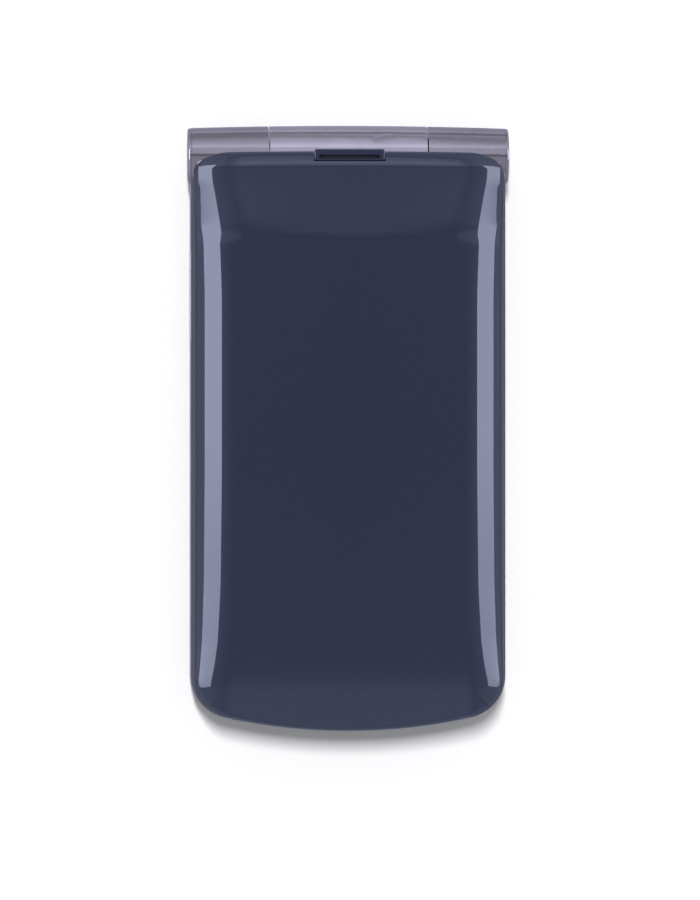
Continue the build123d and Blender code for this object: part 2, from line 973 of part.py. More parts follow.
def rear_case():
    """Back of the base: open battery bay below, room for the radio parts near the hinge."""
    end_y = hinge_y + rear_past_axis
    outline = plan(0, end_y, round_top=True)
    outer = rear_form(0, prism(outline, 0, base_split))
    outer = outer & rear_end_trim(end_y)
    covered = block(-60, 60, -100, battery_cover_line, -1, battery_cover_height + cover_seam)
    tray_inset = battery_cover_wall + cover_seam
    cut = low_side(battery_cover_line + 1, base_split)
    tray = rear_form(tray_inset, cut) & cut
    plateau_outline = plan(frame_wall + fit_gap, battery_cover_line + 2)
    plateau = prism(plateau_outline, base_split - 0.5, board_z - fit_gap)
    body = (outer - covered) + (tray & covered) + plateau
    swings = knuckle_swing()
    body = body - swings[0] - swings[1] - barrel_form(-barrel_half - 1, barrel_half + 1, fit_gap)
    body = body - battery_bay() - radio_room() - lens_panel_form(fit_gap, -1, lens_panel_top())
    body = body - disc(0, camera_y, 0, rear_wall + 1, camera_lens_radius + fit_gap)
    for side in (1, -1):
        x0, x1 = sorted((side * (battery_width / 2 + side_pocket_wall), side * (half_width - screw_side_gap)))
        y0, y1 = y_low + side_pocket_low_gap, battery_cover_line - side_pocket_end_gap
        body = body - block(x0, x1, y0, y1, side_pocket_floor, base_split + 1)
    for x in contact_places():
        half = contact_width / 2 + fit_gap
        y0, y1 = contact_wall_y() - 0.5, contact_wall_y() + contact_depth
        body = body - block(x - half, x + half, y0, y1, battery_z + 0.7, bay_top - 0.6)
    for x, y in base_screw_places():
        head_top = base_screw_head_z(y) + screw_head_height
        body = body - disc(x, y, -1, head_top, screw_head_radius + 0.1)
        body = body - disc(x, y, 0, board_z + 1, screw_shank_radius + 0.1)
        body = body - disc(x, y, base_split, board_z + 1, base_boss_radius + fit_gap)
    return body


def rear_end_trim(end_y):
    """Block that ends at end_y with its lower edge there rounded, where the back's slope arrives."""
    start = end_y - rear_rim_radius
    slope_y = hinge_y - rear_slope_from_axis
    rise = rear_slope_rise * (start - slope_y) / (rear_slope_from_axis + rear_slope_past_axis)
    centre_z = rise + rear_rim_radius
    upper = block(-body_width, body_width, start - 1, end_y, centre_z, 2 * base_split)
    round_edge = Pos(0, start, centre_z) * Rot(0, 90, 0) * Cylinder(rear_rim_radius, 2 * body_width)
    return low_side(start, 2 * base_split) + upper + round_edge


def battery_bay():
    """Room for the battery, open to the back."""
    width = battery_width + 2 * battery_clearance
    length = battery_length + 2 * battery_clearance
    return rounded_block(0, battery_y, width, length, -1, bay_top, battery_corner)


def radio_room():
    """Room under the board near the hinge, round the two screw bosses there."""
    outline = prism(plan(frame_wall + 0.6, crossbar_y - fit_gap), rear_wall, base_split + 1)
    room = outline & block(
        -60, 60, battery_cover_line + contact_depth + 0.6, 60, 0, base_split + 2
    )
    for x, y in base_screw_places():
        if y > battery_cover_line:
            room = room - disc(x, y, 0, base_split, base_boss_radius)
    return room


def contact_places():
    """Where the battery's contacts are, across the phone."""
    return [(n - (contact_count - 1) / 2) * contact_pitch for n in range(contact_count)]


def contact_wall_y():
    """Hinge end of the battery bay."""
    return battery_y + battery_length / 2 + battery_clearance


def lens_panel_form(grow, z0, z1):
    """Upright walls on the lens-shaped outline between two arcs, larger by grow."""
    half = lens_panel_width / 2 + grow
    bow = lens_panel_length / 2 + grow
    upper = ThreePointArc((-half, 0), (0, bow), (half, 0))
    lower = ThreePointArc((half, 0), (0, -bow), (-half, 0))
    outline = make_face([upper, lower])
    outline = fillet(outline.vertices(), lens_panel_tip)
    return prism(Pos(0, camera_y) * outline, z0, z1)


def lens_panel_top():
    return lens_panel_recess + lens_panel_thickness


def camera_panel():
    """Glossy lens-shaped panel round the camera, on the back near the hinge."""
    panel = lens_panel_form(0, lens_panel_recess, lens_panel_top())
    return panel - disc(0, camera_y, -1, 2, camera_lens_radius + fit_gap)


def camera_module():
    """Camera with its round lens, which shows in the middle of the panel."""
    z0 = lens_panel_recess + camera_lens_recess
    z1 = rear_wall + 0.05
    half = camera_width / 2
    body = block(-half, half, camera_y - half, camera_y + half, z1, board_z - fit_gap)
    lens = disc(0, camera_y, z0, z1, camera_lens_radius)
    lens = fillet(lens.edges().group_by(Axis.Z)[0], 0.2)
    return body + lens


def battery_cover():
    """Snap-on cover over the battery: flat back, round sides, a finger notch at its edge."""
    end_y = battery_cover_line - cover_seam
    outer_cut, inner_cut = low_side(end_y, battery_cover_height), low_side(end_y + 1, base_split)
    outer = rear_form(0, low_side(hinge_y, base_split)) & outer_cut
    inner = rear_form(battery_cover_wall, low_side(hinge_y, base_split)) & inner_cut
    notch = Pos(0, end_y, 0) * Rot(0, 90, 0) * Cylinder(notch_depth / 2, notch_width)
    return outer - inner - notch


def battery():
    """Flat rectangular cell pack."""
    pack = rounded_block(
        0,
        battery_y,
        battery_width,
        battery_length,
        battery_z,
        battery_z + battery_thickness,
        battery_corner,
    )
    return fillet(pack.edges().group_by(Axis.Z)[0], 0.4)


def battery_contacts():
    """Sprung gold contacts at the hinge end of the bay."""
    half = contact_width / 2
    y0 = contact_wall_y() - battery_clearance + 0.05
    y1 = contact_wall_y() + contact_depth - fit_gap
    return [
        block(x - half, x + half, y0, y1, battery_z + 0.75, bay_top - 0.65)
        for x in contact_places()
    ]


def main_circuit_board():
    """Main board between the battery bay and the keys."""
    low = y_low + board_low_gap
    high = crossbar_y - fit_gap
    return rounded_block(
        0, (low + high) / 2, 2 * board_half_width, high - low, board_z, board_z + board_thickness, 1
    )


def rf_shield():
    """Pressed cans over the radio parts, on the underside of the board."""
    y = camera_y + shield_forward
    z1 = board_z - 0.02
    z0 = z1 - shield_height
    wall = shield_wall
    cans = []
    for side in (1, -1):
        x = side * (camera_width / 2 + 0.8 + shield_width / 2)
        can = rounded_block(x, y, shield_width, shield_length, z0, z1, 0.5)
        inside = rounded_block(
            x, y, shield_width - 2 * wall, shield_length - 2 * wall, z0 + wall, z1 + 1, 0.4
        )
        cans.append(can - inside)
    return cans


def antenna():
    """Moulded antenna carrier across the hinge end of the board."""
    y1 = crossbar_y - 0.4
    z1 = board_z - 0.02
    half = antenna_length / 2
    return block(-half, half, y1 - antenna_width, y1, z1 - antenna_height, z1)


def microphone():
    z0 = board_z + board_thickness
    return disc(microphone_x, microphone_y, z0, plate_z - 0.15, microphone_radius)


def charging_socket():
    """Metal socket for the charging plug, with its tongue."""
    half = port_width / 2
    y0 = port_cover_back() + 0.1
    y1 = y0 + port_depth
    shell = block(-half, half, y0, y1, port_z, port_z + port_height)
    hollow = block(
        -half + port_wall,
        half - port_wall,
        y0 - 1,
        y1 - 0.8,
        port_z + port_wall,
        port_z + port_height - port_wall,
    )
    middle = port_z + port_height / 2
    tongue = block(-half + 1.3, half - 1.3, y0 + 0.8, y1, middle, middle + 0.45)
    return (shell - hollow) + tongue


def charge_port_cover():
    """Flap over the charging port, flush with the low end and hinged at its left end."""
    slab = prism(plan(0, 0), base_split, base_height) & port_cover_room(0)
    x, y = port_hinge()
    middle = port_z + port_height / 2
    z0, z1 = middle - port_cover_height / 2, middle + port_cover_height / 2
    left_end = block(x - 2, x, y_low - 1, y_low + 2, z0 - 1, z1 + 1)
    return (slab - left_end) + disc(x, y, z0, z1, port_cover_thickness / 2)


def port_hinge():
    """Upright axis of the flap, in its round left end."""
    x = -port_cover_width / 2 + port_cover_thickness / 2
    return x, port_cover_back() - port_cover_thickness / 2


def rubber_keymat():
    """Soft sheet between the keys and the domes."""
    y0, y1 = keypad_span()
    return rounded_block(
        0, (y0 + y1) / 2, 2 * board_half_width, y1 - y0, keymat_z, keymat_z + keymat_thickness, 1
    )


def dome_sheet():
    """Film with a metal dome under each key."""
    y0, y1 = keypad_span()
    sheet = rounded_block(
        0, (y0 + y1) / 2, 2 * board_half_width - 1, y1 - y0 - 1, dome_z, dome_z + 0.08, 1
    )
    domes = [
        disc(x, y, dome_z, dome_z + dome_thickness, dome_radius) for x, y in dome_places()
    ]
    return fused([sheet, *domes])


def keypad_span():
    """Low and high end of the keymat."""
    low = digit_low_y - digit_key_height / 2 - keymat_margin
    return low, soft_key_y + function_key_height / 2 + keymat_margin


def dome_places():
    places = [(x, y) for name, x, y, width, height in rectangular_keys()]
    return places + [(0, nav_y)] + [
        (0.72 * nav_radius * cos(n * pi / 2), nav_y + 0.72 * nav_radius * sin(n * pi / 2))
        for n in range(4)
    ]


# Keys

def rectangular_keys():
    """Name, centre and size of every key but the round ones."""
    names = ["1", "2", "3", "4", "5", "6", "7", "8", "9", "star", "0", "hash"]
    keys = []
    for n, name in enumerate(names):
        x = (n % 3 - 1) * digit_pitch_x
        y = digit_top_y - (n // 3) * digit_pitch_y
        keys.append((f"key_{name}", x, y, digit_key_width, digit_key_height))
    for side, soft, call in ((-1, "key_soft_left", "key_send"), (1, "key_soft_right", "key_end")):
        x = side * function_key_x
        keys.append((soft, x, soft_key_y, function_key_width, function_key_height))
        keys.append((call, x, call_key_y, function_key_width, function_key_height))
    keys.append(("key_clear", 0, clear_key_y, clear_key_width, clear_key_height))
    return keys


def key_cap(x, y, width, height):
    """Rectangular key cap on a flange that keeps it behind the plate."""
    top = plate_top + key_proud
    flange = rounded_block(
        x,
        y,
        width + 2 * key_flange,
        height + 2 * key_flange,
        key_z,
        key_z + key_flange_height,
        1.4,
    )
    cap = rounded_block(x, y, width, height, key_z, top, 1.2)
    cap = fillet(cap.faces().sort_by(Axis.Z)[-1].edges(), key_edge)
    return flange + cap


def round_key(radius, hole=0.0):
    """Round key, or a ring with a hole, at the navigation place."""
    top = plate_top + key_proud
    cap = disc(0, nav_y, key_z, top, radius)
    cap = fillet(cap.faces().sort_by(Axis.Z)[-1].edges(), key_edge)
    whole = cap + disc(0, nav_y, key_z, key_z + key_flange_height, radius + (key_flange if hole else 0))
    return whole - disc(0, nav_y, key_z - 1, top + 1, hole) if hole else whole


def keypad_plate():
    """Panel round the keys, set just below the frame's rim."""
    panel = prism(plan(frame_wall + fit_gap, crossbar_y - fit_gap), plate_z, plate_top)
    for name, x, y, width, height in rectangular_keys():
        panel = panel - rounded_block(
            x,
            y,
            width + 2 * key_clearance,
            height + 2 * key_clearance,
            plate_z - 1,
            plate_top + 1,
            1.2 + key_clearance,
        )
    panel = panel - disc(0, nav_y, plate_z - 1, plate_top + 1, nav_radius + key_clearance)
    return panel - disc(
        microphone_x, microphone_y, plate_z - 1, plate_top + 1, microphone_hole_radius
    )


def side_key(side, y, length):
    """Side key: a flush bar with a flange behind the frame's wall."""
    outside = half_width + side_key_proud
    back = half_width - frame_wall - side_key_room
    x0, x1 = sorted((side * (back - side_key_flange), side * outside))
    bar = block(x0, x1, y - length / 2, y + length / 2, side_key_z, side_key_z + side_key_height)
    outer_face = bar.faces().sort_by(Axis.X)[-1 if side > 0 else 0]
    bar = fillet(outer_face.edges(), 0.12)
    f0, f1 = sorted((side * (back - side_key_flange), side * back))
    flange = block(
        f0,
        f1,
        y - length / 2 - 0.8,
        y + length / 2 + 0.8,
        side_key_z - 0.3,
        min(side_key_z + side_key_height + 0.3, plate_z - 0.05),
    )
    return bar + flange


def base_screws():
    """Four screws from the back up into the frame's bosses."""
    screws = []
    for x, y in base_screw_places():
        head_z = base_screw_head_z(y)
        shank_z = head_z + screw_head_height
        head = disc(x, y, head_z, shank_z, screw_head_radius)
        screws.append(head + disc(x, y, shank_z, base_screw_tip(), screw_shank_radius))
    return screws


pieces = {
    "lid_outer_cover": lid_outer_cover,
    "lid_frame": lid_frame,
    "lid_inner_bezel": lid_inner_bezel,
    "display_window": display_window,
    "display_panel": display_panel,
    "lid_circuit_board": lid_circuit_board,
    "earpiece_speaker": earpiece_speaker,
    "earpiece_grille": earpiece_grille,
    "ringer_speaker": ringer_speaker,
    "slot_trim": slot_trim,
    "slot_mesh": slot_mesh,
    "vibration_motor": vibration_motor,
    "lid_screws": lid_screws,
    "lid_screw_caps": lid_screw_caps,
    "lid_bumpers": lid_bumpers,
    "hinge_caps": hinge_caps,
    "hinge_housing": hinge_housing,
    "hinge_spring": hinge_spring,
    "hinge_follower": hinge_follower,
    "hinge_bush": hinge_bush,
    "flex_cable": flex_cable,
    "hinge_cam": hinge_cam,
    "base_frame": base_frame,
    "rear_case": rear_case,
    "keypad_plate": keypad_plate,
    "rubber_keymat": rubber_keymat,
    "dome_sheet": dome_sheet,
    "main_circuit_board": main_circuit_board,
    "rf_shield": rf_shield,
    "antenna": antenna,
    "camera_module": camera_module,
    "camera_panel": camera_panel,
    "microphone": microphone,
    "charging_socket": charging_socket,
    "battery_contacts": battery_contacts,
    "base_screws": base_screws,
    "battery_cover": battery_cover,
    "battery": battery,
    "charge_port_cover": charge_port_cover,
    "volume_rocker": lambda: side_key(-1, rocker_y, rocker_length),
    "camera_key": lambda: side_key(1, camera_key_y, camera_key_length),
    "key_navigation": lambda: round_key(nav_radius, ok_radius + key_clearance),
    "key_ok": lambda: round_key(ok_radius),
}
for key_name, key_x, key_y, key_width, key_height in rectangular_keys():
    pieces[key_name] = lambda x=key_x, y=key_y, w=key_width, h=key_height: key_cap(x, y, w, h)


def as_one(made):
    """A piece as one shape: a list of like solids goes together in one node."""
    return Compound(children=list(made)) if isinstance(made, list) else made


def main():
    os.makedirs("parts", exist_ok=True)
    for name, make in pieces.items():
        export_step(as_one(make()), f"parts/{name}.step")


main()
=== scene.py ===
"""Looks of a closed clamshell phone: pearl navy covers, mauve metal, keys, display and camera.

Everything is in metres, except in tables that say millimetres. The hinge lies towards +Y and the
lid's outer face looks up, along +Z.
"""

from math import atan2, cos, hypot, pi, radians, sin, sqrt, tan

import bmesh
import bpy
from mathutils import Matrix, Vector
from mathutils.bvhtree import BVHTree


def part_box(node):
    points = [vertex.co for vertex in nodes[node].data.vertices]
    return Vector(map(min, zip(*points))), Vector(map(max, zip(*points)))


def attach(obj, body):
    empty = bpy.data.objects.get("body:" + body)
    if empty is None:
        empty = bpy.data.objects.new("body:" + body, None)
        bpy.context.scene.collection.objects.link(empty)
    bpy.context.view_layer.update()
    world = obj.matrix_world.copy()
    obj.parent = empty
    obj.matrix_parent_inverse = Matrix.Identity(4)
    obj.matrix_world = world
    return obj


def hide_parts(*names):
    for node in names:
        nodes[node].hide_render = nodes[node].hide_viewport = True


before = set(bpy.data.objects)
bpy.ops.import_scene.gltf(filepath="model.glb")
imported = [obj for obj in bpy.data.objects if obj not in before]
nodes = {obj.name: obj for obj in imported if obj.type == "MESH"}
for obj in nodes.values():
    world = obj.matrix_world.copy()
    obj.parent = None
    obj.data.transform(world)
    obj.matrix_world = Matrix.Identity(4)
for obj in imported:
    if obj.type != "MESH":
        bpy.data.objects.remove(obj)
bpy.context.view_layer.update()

mm = 0.001

# Photograph

image_width, image_height = 700, 900
photo_pixel = 0.162 * mm
phone_middle_px = (348.5, 428.3)
camera_tilt = radians(2.7)
camera_lens, camera_sensor = 300, 36
focus_height = 12 * mm

# Light

world_level = 0.32
# Red, green and blue of a grey studio surface at level 1.
cool_tint = (0.88, 1.0, 1.3)
lamp_place = Vector((-0.24, 1.05, 5.0))
lamp_width, lamp_length = 0.2, 1.0
lamp_energy = 205
# What gloss shows, as (degrees from straight up, level): towards both ends, and towards the sides.
wall_light = [
    (-90, 0.40),
    (-30, 0.34),
    (-8, 0.31),
    (-5.5, 0.29),
    (-2, 0.12),
    (0, 0.08),
    (4, 0.12),
    (9, 0.54),
    (31, 0.57),
    (33.5, 0.88),
    (39, 0.84),
    (48, 0.64),
    (67, 0.46),
    (73, 0.40),
    (80, 0.25),
    (90, 0.18),
]
side_light = [
    (0, 0.0),
    (6, 0.02),
    (12, 0.10),
    (23, 0.24),
    (57, 0.35),
    (62, 0.5),
    (90, 0.45),
]
# How much of the light from both ends is left towards the sides.
side_shade = [(0, 1.0), (5, 1.0), (11, 0.35), (90, 0.3)]
# Each side panel spans what two places on the shoulder reflect, at these angles from straight up.
panel_near_x, panel_near = 20.7 * mm, radians(24.0)
panel_far_x, panel_far = 23.3 * mm, radians(59.5)
panel_height = 300 * mm
panel_low, panel_high = -58 * mm, 225 * mm
panel_colour = (3.1, 3.25, 4.4)
panel_left_level, panel_right_level = 1.0, 0.92
# Share of the panels' light, from their low end to the phone's middle.
panel_fade = [(0, 0.70), (0.4, 0.80), (1, 1.0)]
floor_colour, floor_roughness = (0.97, 0.97, 0.97), 0.6
floor_half, floor_gap = 1.5, 0.05 * mm
floor_glow = 0.05
# Painted reflection seen only in gloss: floor glow by millimetres from the phone's middle towards +Y.
floor_painted_reflection = [
    (0, 0.38),
    (71, 0.38),
    (74, 0.60),
    (80, 0.58),
    (84, 0.40),
    (95, 0.34),
    (115, 0.22),
    (170, 0.20),
    (300, 0.16),
]

# Lid cover

cover_low, cover_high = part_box("lid_outer_cover")
cover_half = cover_high.x - 0.15 * mm
split_z = cover_low.z
low_y = cover_low.y - 0.15 * mm
end_y = cover_high.y
hinge_y = end_y - 0.6 * mm
hinge_z = 9.35 * mm
swing_radius = 5.15 * mm
face_height = 4.7 * mm
face_crown = 0.2 * mm
crease_y = 31.0 * mm
crease_softness = 0.7 * mm
hump_rise, hump_run = 0.7 * mm, 13.2 * mm
low_radius = 91.75 * mm
low_corner = 6.75 * mm
high_corner_width, high_corner_length = 6.0 * mm, 4.0 * mm
high_bow = 0.3 * mm
low_slope_length, low_slope_drop = 12.0 * mm, 0.62 * mm
low_rim_width, low_rim_drop = 0.8 * mm, 1.4 * mm
high_rim_arc, high_rim_drop = 4.2 * mm, 2.4 * mm
# Across the phone, in millimetres: place and width of the rounded rim at the hinge end.
high_rim_widths = [(0, 2.3), (20.0, 2.3), (23.0, 2.6), (26, 2.6)]
# Along the phone, in millimetres: place, width of the side shoulder and how far it falls.
shoulders = [
    (-50.0, 6.4, 2.0),
    (-41.5, 6.7, 2.1),
    (-38.5, 6.8, 2.6),
    (-34.5, 7.0, 3.1),
    (-26.0, 7.3, 3.6),
    (-8.0, 7.4, 3.85),
    (22.0, 7.4, 3.85),
    (30.3, 7.1, 3.5),
    (32.2, 9.8, 3.4),
    (34.0, 10.0, 3.1),
    (37.0, 9.0, 2.7),
    (40.0, 7.8, 2.3),
    (50.0, 7.2, 2.1),
]
shoulder_blend = 0.8 * mm
shoulder_pull = 0.56
cover_wall = 1.0 * mm
notch_gap, notch_past_end = 0.1 * mm, 5 * mm
# Ends, width and height of the black strips of painted shade along each low corner's fold.
fold_inner, fold_outer = (20.5 * mm, -43.1 * mm), (22.8 * mm, -45.2 * mm)
fold_width, fold_proud = 0.16 * mm, 0.012 * mm
fold_taper, fold_roundness = 0.8, 0.5
fold_columns, fold_rows = 14, 2

# Grid of the cover: its columns, the share of them on the flat face, and its rows from end to end.
columns, flat_columns = 132, 0.45
low_rows, flat_rows, crease_rows, hump_rows, rim_rows = 44, 26, 14, 22, 24
crease_zone, rim_zone = 2 * mm, 3.2 * mm
# Points nearer than the first are joined, and edges shorter than the second are dissolved.
same_point, sliver = 0.02 * mm, 0.01 * mm
# Least distance from a corner's middle to divide by.
least_away = 0.1 * mm

# Edges that turn by more than this stay crisp.
crisp_turn = radians(32)

# Key marks

# How thick a mark is, and how far it sinks into its key.
mark_depth = 0.03 * mm
mark_sunk = mark_depth / 3
numeral_size, numeral_weld = 5.0 * mm, 0.005 * mm
soft_key_bar = (3.2 * mm, 0.5 * mm)
arrow_shaft, arrow_head = (2.2 * mm, 0.4 * mm), 0.9 * mm
arrow_shaft_x, arrow_head_x = 0.7 * mm, -0.8 * mm
navigation_reach = 7.2 * mm
ok_radius, ok_line = 1.7 * mm, 0.4 * mm
handset_radius, handset_bend = 2.6 * mm, radians(62)
handset_steps, handset_middle = 24, 0.75 * handset_radius
handset_grip, handset_end = 0.34 * mm, 0.75 * mm
handset_end_drop, handset_end_from = 0.4 * mm, 0.68

# Camera and display

# Radii of the camera's two rings, and their heights above its face.
trim_ring = {"outer": 2.9 * mm, "inner": 2.3 * mm, "low": -0.12 * mm, "high": 0.06 * mm}
barrel_ring = {"outer": 2.2 * mm, "inner": 1.1 * mm, "low": -0.06 * mm, "high": 0.04 * mm}
trim_bevel = 0.05 * mm
ring_steps, ring_weld = 64, 0.001 * mm
glass_radius, glass_flatness = 1.05 * mm, 0.1
mask_inset, mask_border = 0.3 * mm, 2.4 * mm
mask_depth, mask_behind = 0.1 * mm, 0.08 * mm


# Materials

# The stretches of a noise over which a colour and a roughness change.
colour_noise, roughness_noise = (0.35, 0.65), (0.3, 0.7)


def material(name, colour, roughness, metallic=0.0):
    """A new material and its tree and shader, with one colour all over."""
    made = bpy.data.materials.new(name)
    made.use_nodes = True
    tree = made.node_tree
    shader = tree.nodes["Principled BSDF"]
    shader.inputs["Base Color"].default_value = (*colour, 1)
    shader.inputs["Roughness"].default_value = roughness
    shader.inputs["Metallic"].default_value = metallic
    return made, tree, shader


def object_place(tree):
    """Place in the object's own space."""
    return tree.nodes.new("ShaderNodeTexCoord").outputs["Object"]


def object_noise(tree, size, detail=2.0):
    """Noise in the object's own space, with blobs of about this size."""
    noise = tree.nodes.new("ShaderNodeTexNoise")
    noise.inputs["Scale"].default_value = 1 / size
    noise.inputs["Detail"].default_value = detail
    tree.links.new(object_place(tree), noise.inputs["Vector"])
    return noise.outputs["Fac"]


def blend_colours(tree, factor, stops):
    """Colour ramp from a factor, as (place, colour) stops."""
    ramp = tree.nodes.new("ShaderNodeValToRGB")
    points = ramp.color_ramp.elements
    points[0].position, points[0].color = stops[0][0], (*stops[0][1], 1)
    points[1].position, points[1].color = stops[-1][0], (*stops[-1][1], 1)
    for place, colour in stops[1:-1]:
        points.new(place).color = (*colour, 1)
    tree.links.new(factor, ramp.inputs["Fac"])
    return ramp.outputs["Color"]


def vary_colour(tree, shader, factor, colour, spread):
    """Base colour from a little darker to a little lighter, driven by a factor."""
    dark, light = (tuple(c * share for c in colour) for share in (1 - spread, 1 + spread))
    shade = blend_colours(tree, factor, list(zip(colour_noise, (dark, light))))
    tree.links.new(shade, shader.inputs["Base Color"])


def vary_roughness(tree, shader, factor, low, high):
    """Roughness between low and high, driven by a factor."""
    spread = tree.nodes.new("ShaderNodeMapRange")
    spread.inputs["From Min"].default_value = roughness_noise[0]
    spread.inputs["From Max"].default_value = roughness_noise[1]
    spread.inputs["To Min"].default_value = low
    spread.inputs["To Max"].default_value = high
    tree.links.new(factor, spread.inputs["Value"])
    tree.links.new(spread.outputs["Result"], shader.inputs["Roughness"])


def roughen(tree, shader, factor, depth):
    """Fine bumps of this depth, driven by a factor."""
    bump = tree.nodes.new("ShaderNodeBump")
    bump.inputs["Distance"].default_value = depth
    tree.links.new(factor, bump.inputs["Height"])
    tree.links.new(bump.outputs["Normal"], shader.inputs["Normal"])


def clear_coated_pearl(name, colour, coat_roughness):
    """Deep pearl paint: tiny flakes that vary in shade, under a clear coat."""
    made, tree, shader = material(name, colour, 0.42)
    vary_colour(tree, shader, object_noise(tree, 0.12 * mm, 1), colour, 0.12)
    shader.inputs["Specular IOR Level"].default_value = 0.0
    shader.inputs["Coat Weight"].default_value = 1.0
    shader.inputs["Coat Roughness"].default_value = coat_roughness
    shader.inputs["Coat IOR"].default_value = 1.8
    return made


def mauve_metal(name, colour):
    """Vacuum-metallised plastic in pinkish grey."""
    made, tree, shader = material(name, colour, 0.2, 0.9)
    vary_colour(tree, shader, object_noise(tree, 6 * mm), colour, 0.03)
    vary_roughness(tree, shader, object_noise(tree, 0.3 * mm), 0.11, 0.14)
    return made


def moulded_plastic(name, colour, roughness):
    """Moulded plastic with a fine spark-eroded texture."""
    made, tree, shader = material(name, colour, roughness)
    grain = object_noise(tree, 0.15 * mm)
    vary_colour(tree, shader, object_noise(tree, 3 * mm), colour, 0.08)
    vary_roughness(tree, shader, grain, roughness * 0.9, roughness * 1.1)
    roughen(tree, shader, grain, 0.01 * mm)
    return made


def polished(name, colour, roughness=0.06):
    """Glossy plastic with faint waviness."""
    made, tree, shader = material(name, colour, roughness)
    wave = object_noise(tree, 4 * mm)
    vary_colour(tree, shader, wave, colour, 0.05)
    vary_roughness(tree, shader, wave, roughness * 0.8, roughness * 1.2)
    return made


def bare_metal(name, colour, roughness):
    """Metal with a fine brushed unevenness."""
    made, tree, shader = material(name, colour, roughness, 1.0)
    fine = object_noise(tree, 0.2 * mm)
    vary_colour(tree, shader, fine, colour, 0.06)
    vary_roughness(tree, shader, fine, roughness * 0.85, roughness * 1.15)
    return made


def circuit_board():
    """Green solder mask over traces that run in steps."""
    mask, track = (0.012, 0.10, 0.035), (0.03, 0.20, 0.07)
    made, tree, shader = material("circuit_green", mask, 0.35)
    cells = tree.nodes.new("ShaderNodeTexBrick")
    cells.inputs["Scale"].default_value = 1 / (9 * mm)
    cells.inputs["Color1"].default_value = (*mask, 1)
    cells.inputs["Color2"].default_value = (*(c * 1.15 for c in mask), 1)
    cells.inputs["Mortar"].default_value = (*track, 1)
    cells.inputs["Mortar Size"].default_value = 0.012
    tree.links.new(object_place(tree), cells.inputs["Vector"])
    tree.links.new(cells.outputs["Color"], shader.inputs["Base Color"])
    return made


def clear_plastic(name, tint, roughness=0.02):
    """Clear moulded window."""
    made, tree, shader = material(name, tint, roughness)
    shader.inputs["Transmission Weight"].default_value = 1.0
    shader.inputs["IOR"].default_value = 1.49
    vary_roughness(tree, shader, object_noise(tree, 6 * mm), roughness, roughness * 1.5)
    return made


def woven_mesh():
    """Fine black wire mesh over a sound opening."""
    made, tree, shader = material("mesh", (0.02, 0.02, 0.025), 0.5, 0.6)
    weave = tree.nodes.new("ShaderNodeTexChecker")
    weave.inputs["Scale"].default_value = 1 / (0.12 * mm)
    weave.inputs["Color1"].default_value = (0.004, 0.004, 0.006, 1)
    weave.inputs["Color2"].default_value = (0.05, 0.05, 0.06, 1)
    tree.links.new(object_place(tree), weave.inputs["Vector"])
    tree.links.new(weave.outputs["Color"], shader.inputs["Base Color"])
    return made


navy = (0.0235, 0.027, 0.058)
finishes = {
    "navy_gloss": clear_coated_pearl("navy_gloss", navy, 0.03),
    "navy_satin": clear_coated_pearl("navy_satin", navy, 0.3),
    "mauve_metal": mauve_metal("mauve_metal", (0.64, 0.545, 0.585)),
    "mauve_metal_lid": mauve_metal("mauve_metal_lid", (0.50, 0.425, 0.455)),
    "black_gloss": polished("black_gloss", (0.008, 0.008, 0.011)),
    "black_plastic": moulded_plastic("black_plastic", (0.012, 0.012, 0.014), 0.5),
    "clear_window": clear_plastic("clear_window", (0.92, 0.94, 0.97)),
    "display_grey": polished("display_grey", (0.02, 0.023, 0.03), 0.15),
    "circuit_green": circuit_board(),
    "steel": bare_metal("steel", (0.62, 0.62, 0.63), 0.25),
    "tin_can": bare_metal("tin_can", (0.70, 0.69, 0.67), 0.32),
    "soft_rubber": moulded_plastic("soft_rubber", (0.025, 0.027, 0.035), 0.65),
    "clear_rubber": clear_plastic("clear_rubber", (0.80, 0.84, 0.88), 0.25),
    "dome_film": polished("dome_film", (0.55, 0.55, 0.52), 0.3),
    "key_plastic": clear_coated_pearl("key_plastic", (0.46, 0.43, 0.50), 0.12),
    "battery_wrap": moulded_plastic("battery_wrap", (0.05, 0.052, 0.058), 0.45),
    "gold": bare_metal("gold", (0.85, 0.60, 0.25), 0.22),
    "flex_amber": polished("flex_amber", (0.30, 0.12, 0.02), 0.3),
    "mesh": woven_mesh(),
    "key_ink": polished("key_ink", (0.02, 0.02, 0.035), 0.35),
    "green_ink": polished("green_ink", (0.02, 0.22, 0.06), 0.35),
    "red_ink": polished("red_ink", (0.36, 0.02, 0.02), 0.35),
}
# Nodes whose mauve metal is darker, as on the barrel's two outer lengths.
darker_metal = ("lid_frame", "hinge_caps", "charge_port_cover")


def finish_nodes():
    """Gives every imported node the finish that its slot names."""
    for node in nodes.values():
        for place, old in enumerate(node.data.materials):
            name = old.name.split(".")[0]
            if node.name in darker_metal:
                name = "mauve_metal_lid"
            node.data.materials[place] = finishes[name]


# Pieces

def linked_mesh(name, shape, finish):
    """A new object in the scene, made of a bmesh, with one finish."""
    mesh = bpy.data.meshes.new(name)
    shape.to_mesh(mesh)
    shape.free()
    mesh.materials.append(finish)
    made = bpy.data.objects.new(name, mesh)
    bpy.context.scene.collection.objects.link(made)
    return made


def piece(name, shape, finish, body, replaced=()):
    """Makes a piece of a bmesh and seats it on a body."""
    made = linked_mesh(name, shape, finishes[finish])
    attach(made, body)
    if replaced:
        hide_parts(*replaced)
    return made


def smooth_shading(made):
    """Smooth faces, with crisp edges where they turn sharply."""
    mesh = made.data
    mesh.polygons.foreach_set("use_smooth", [True] * len(mesh.polygons))
    mesh.set_sharp_from_angle(angle=crisp_turn)


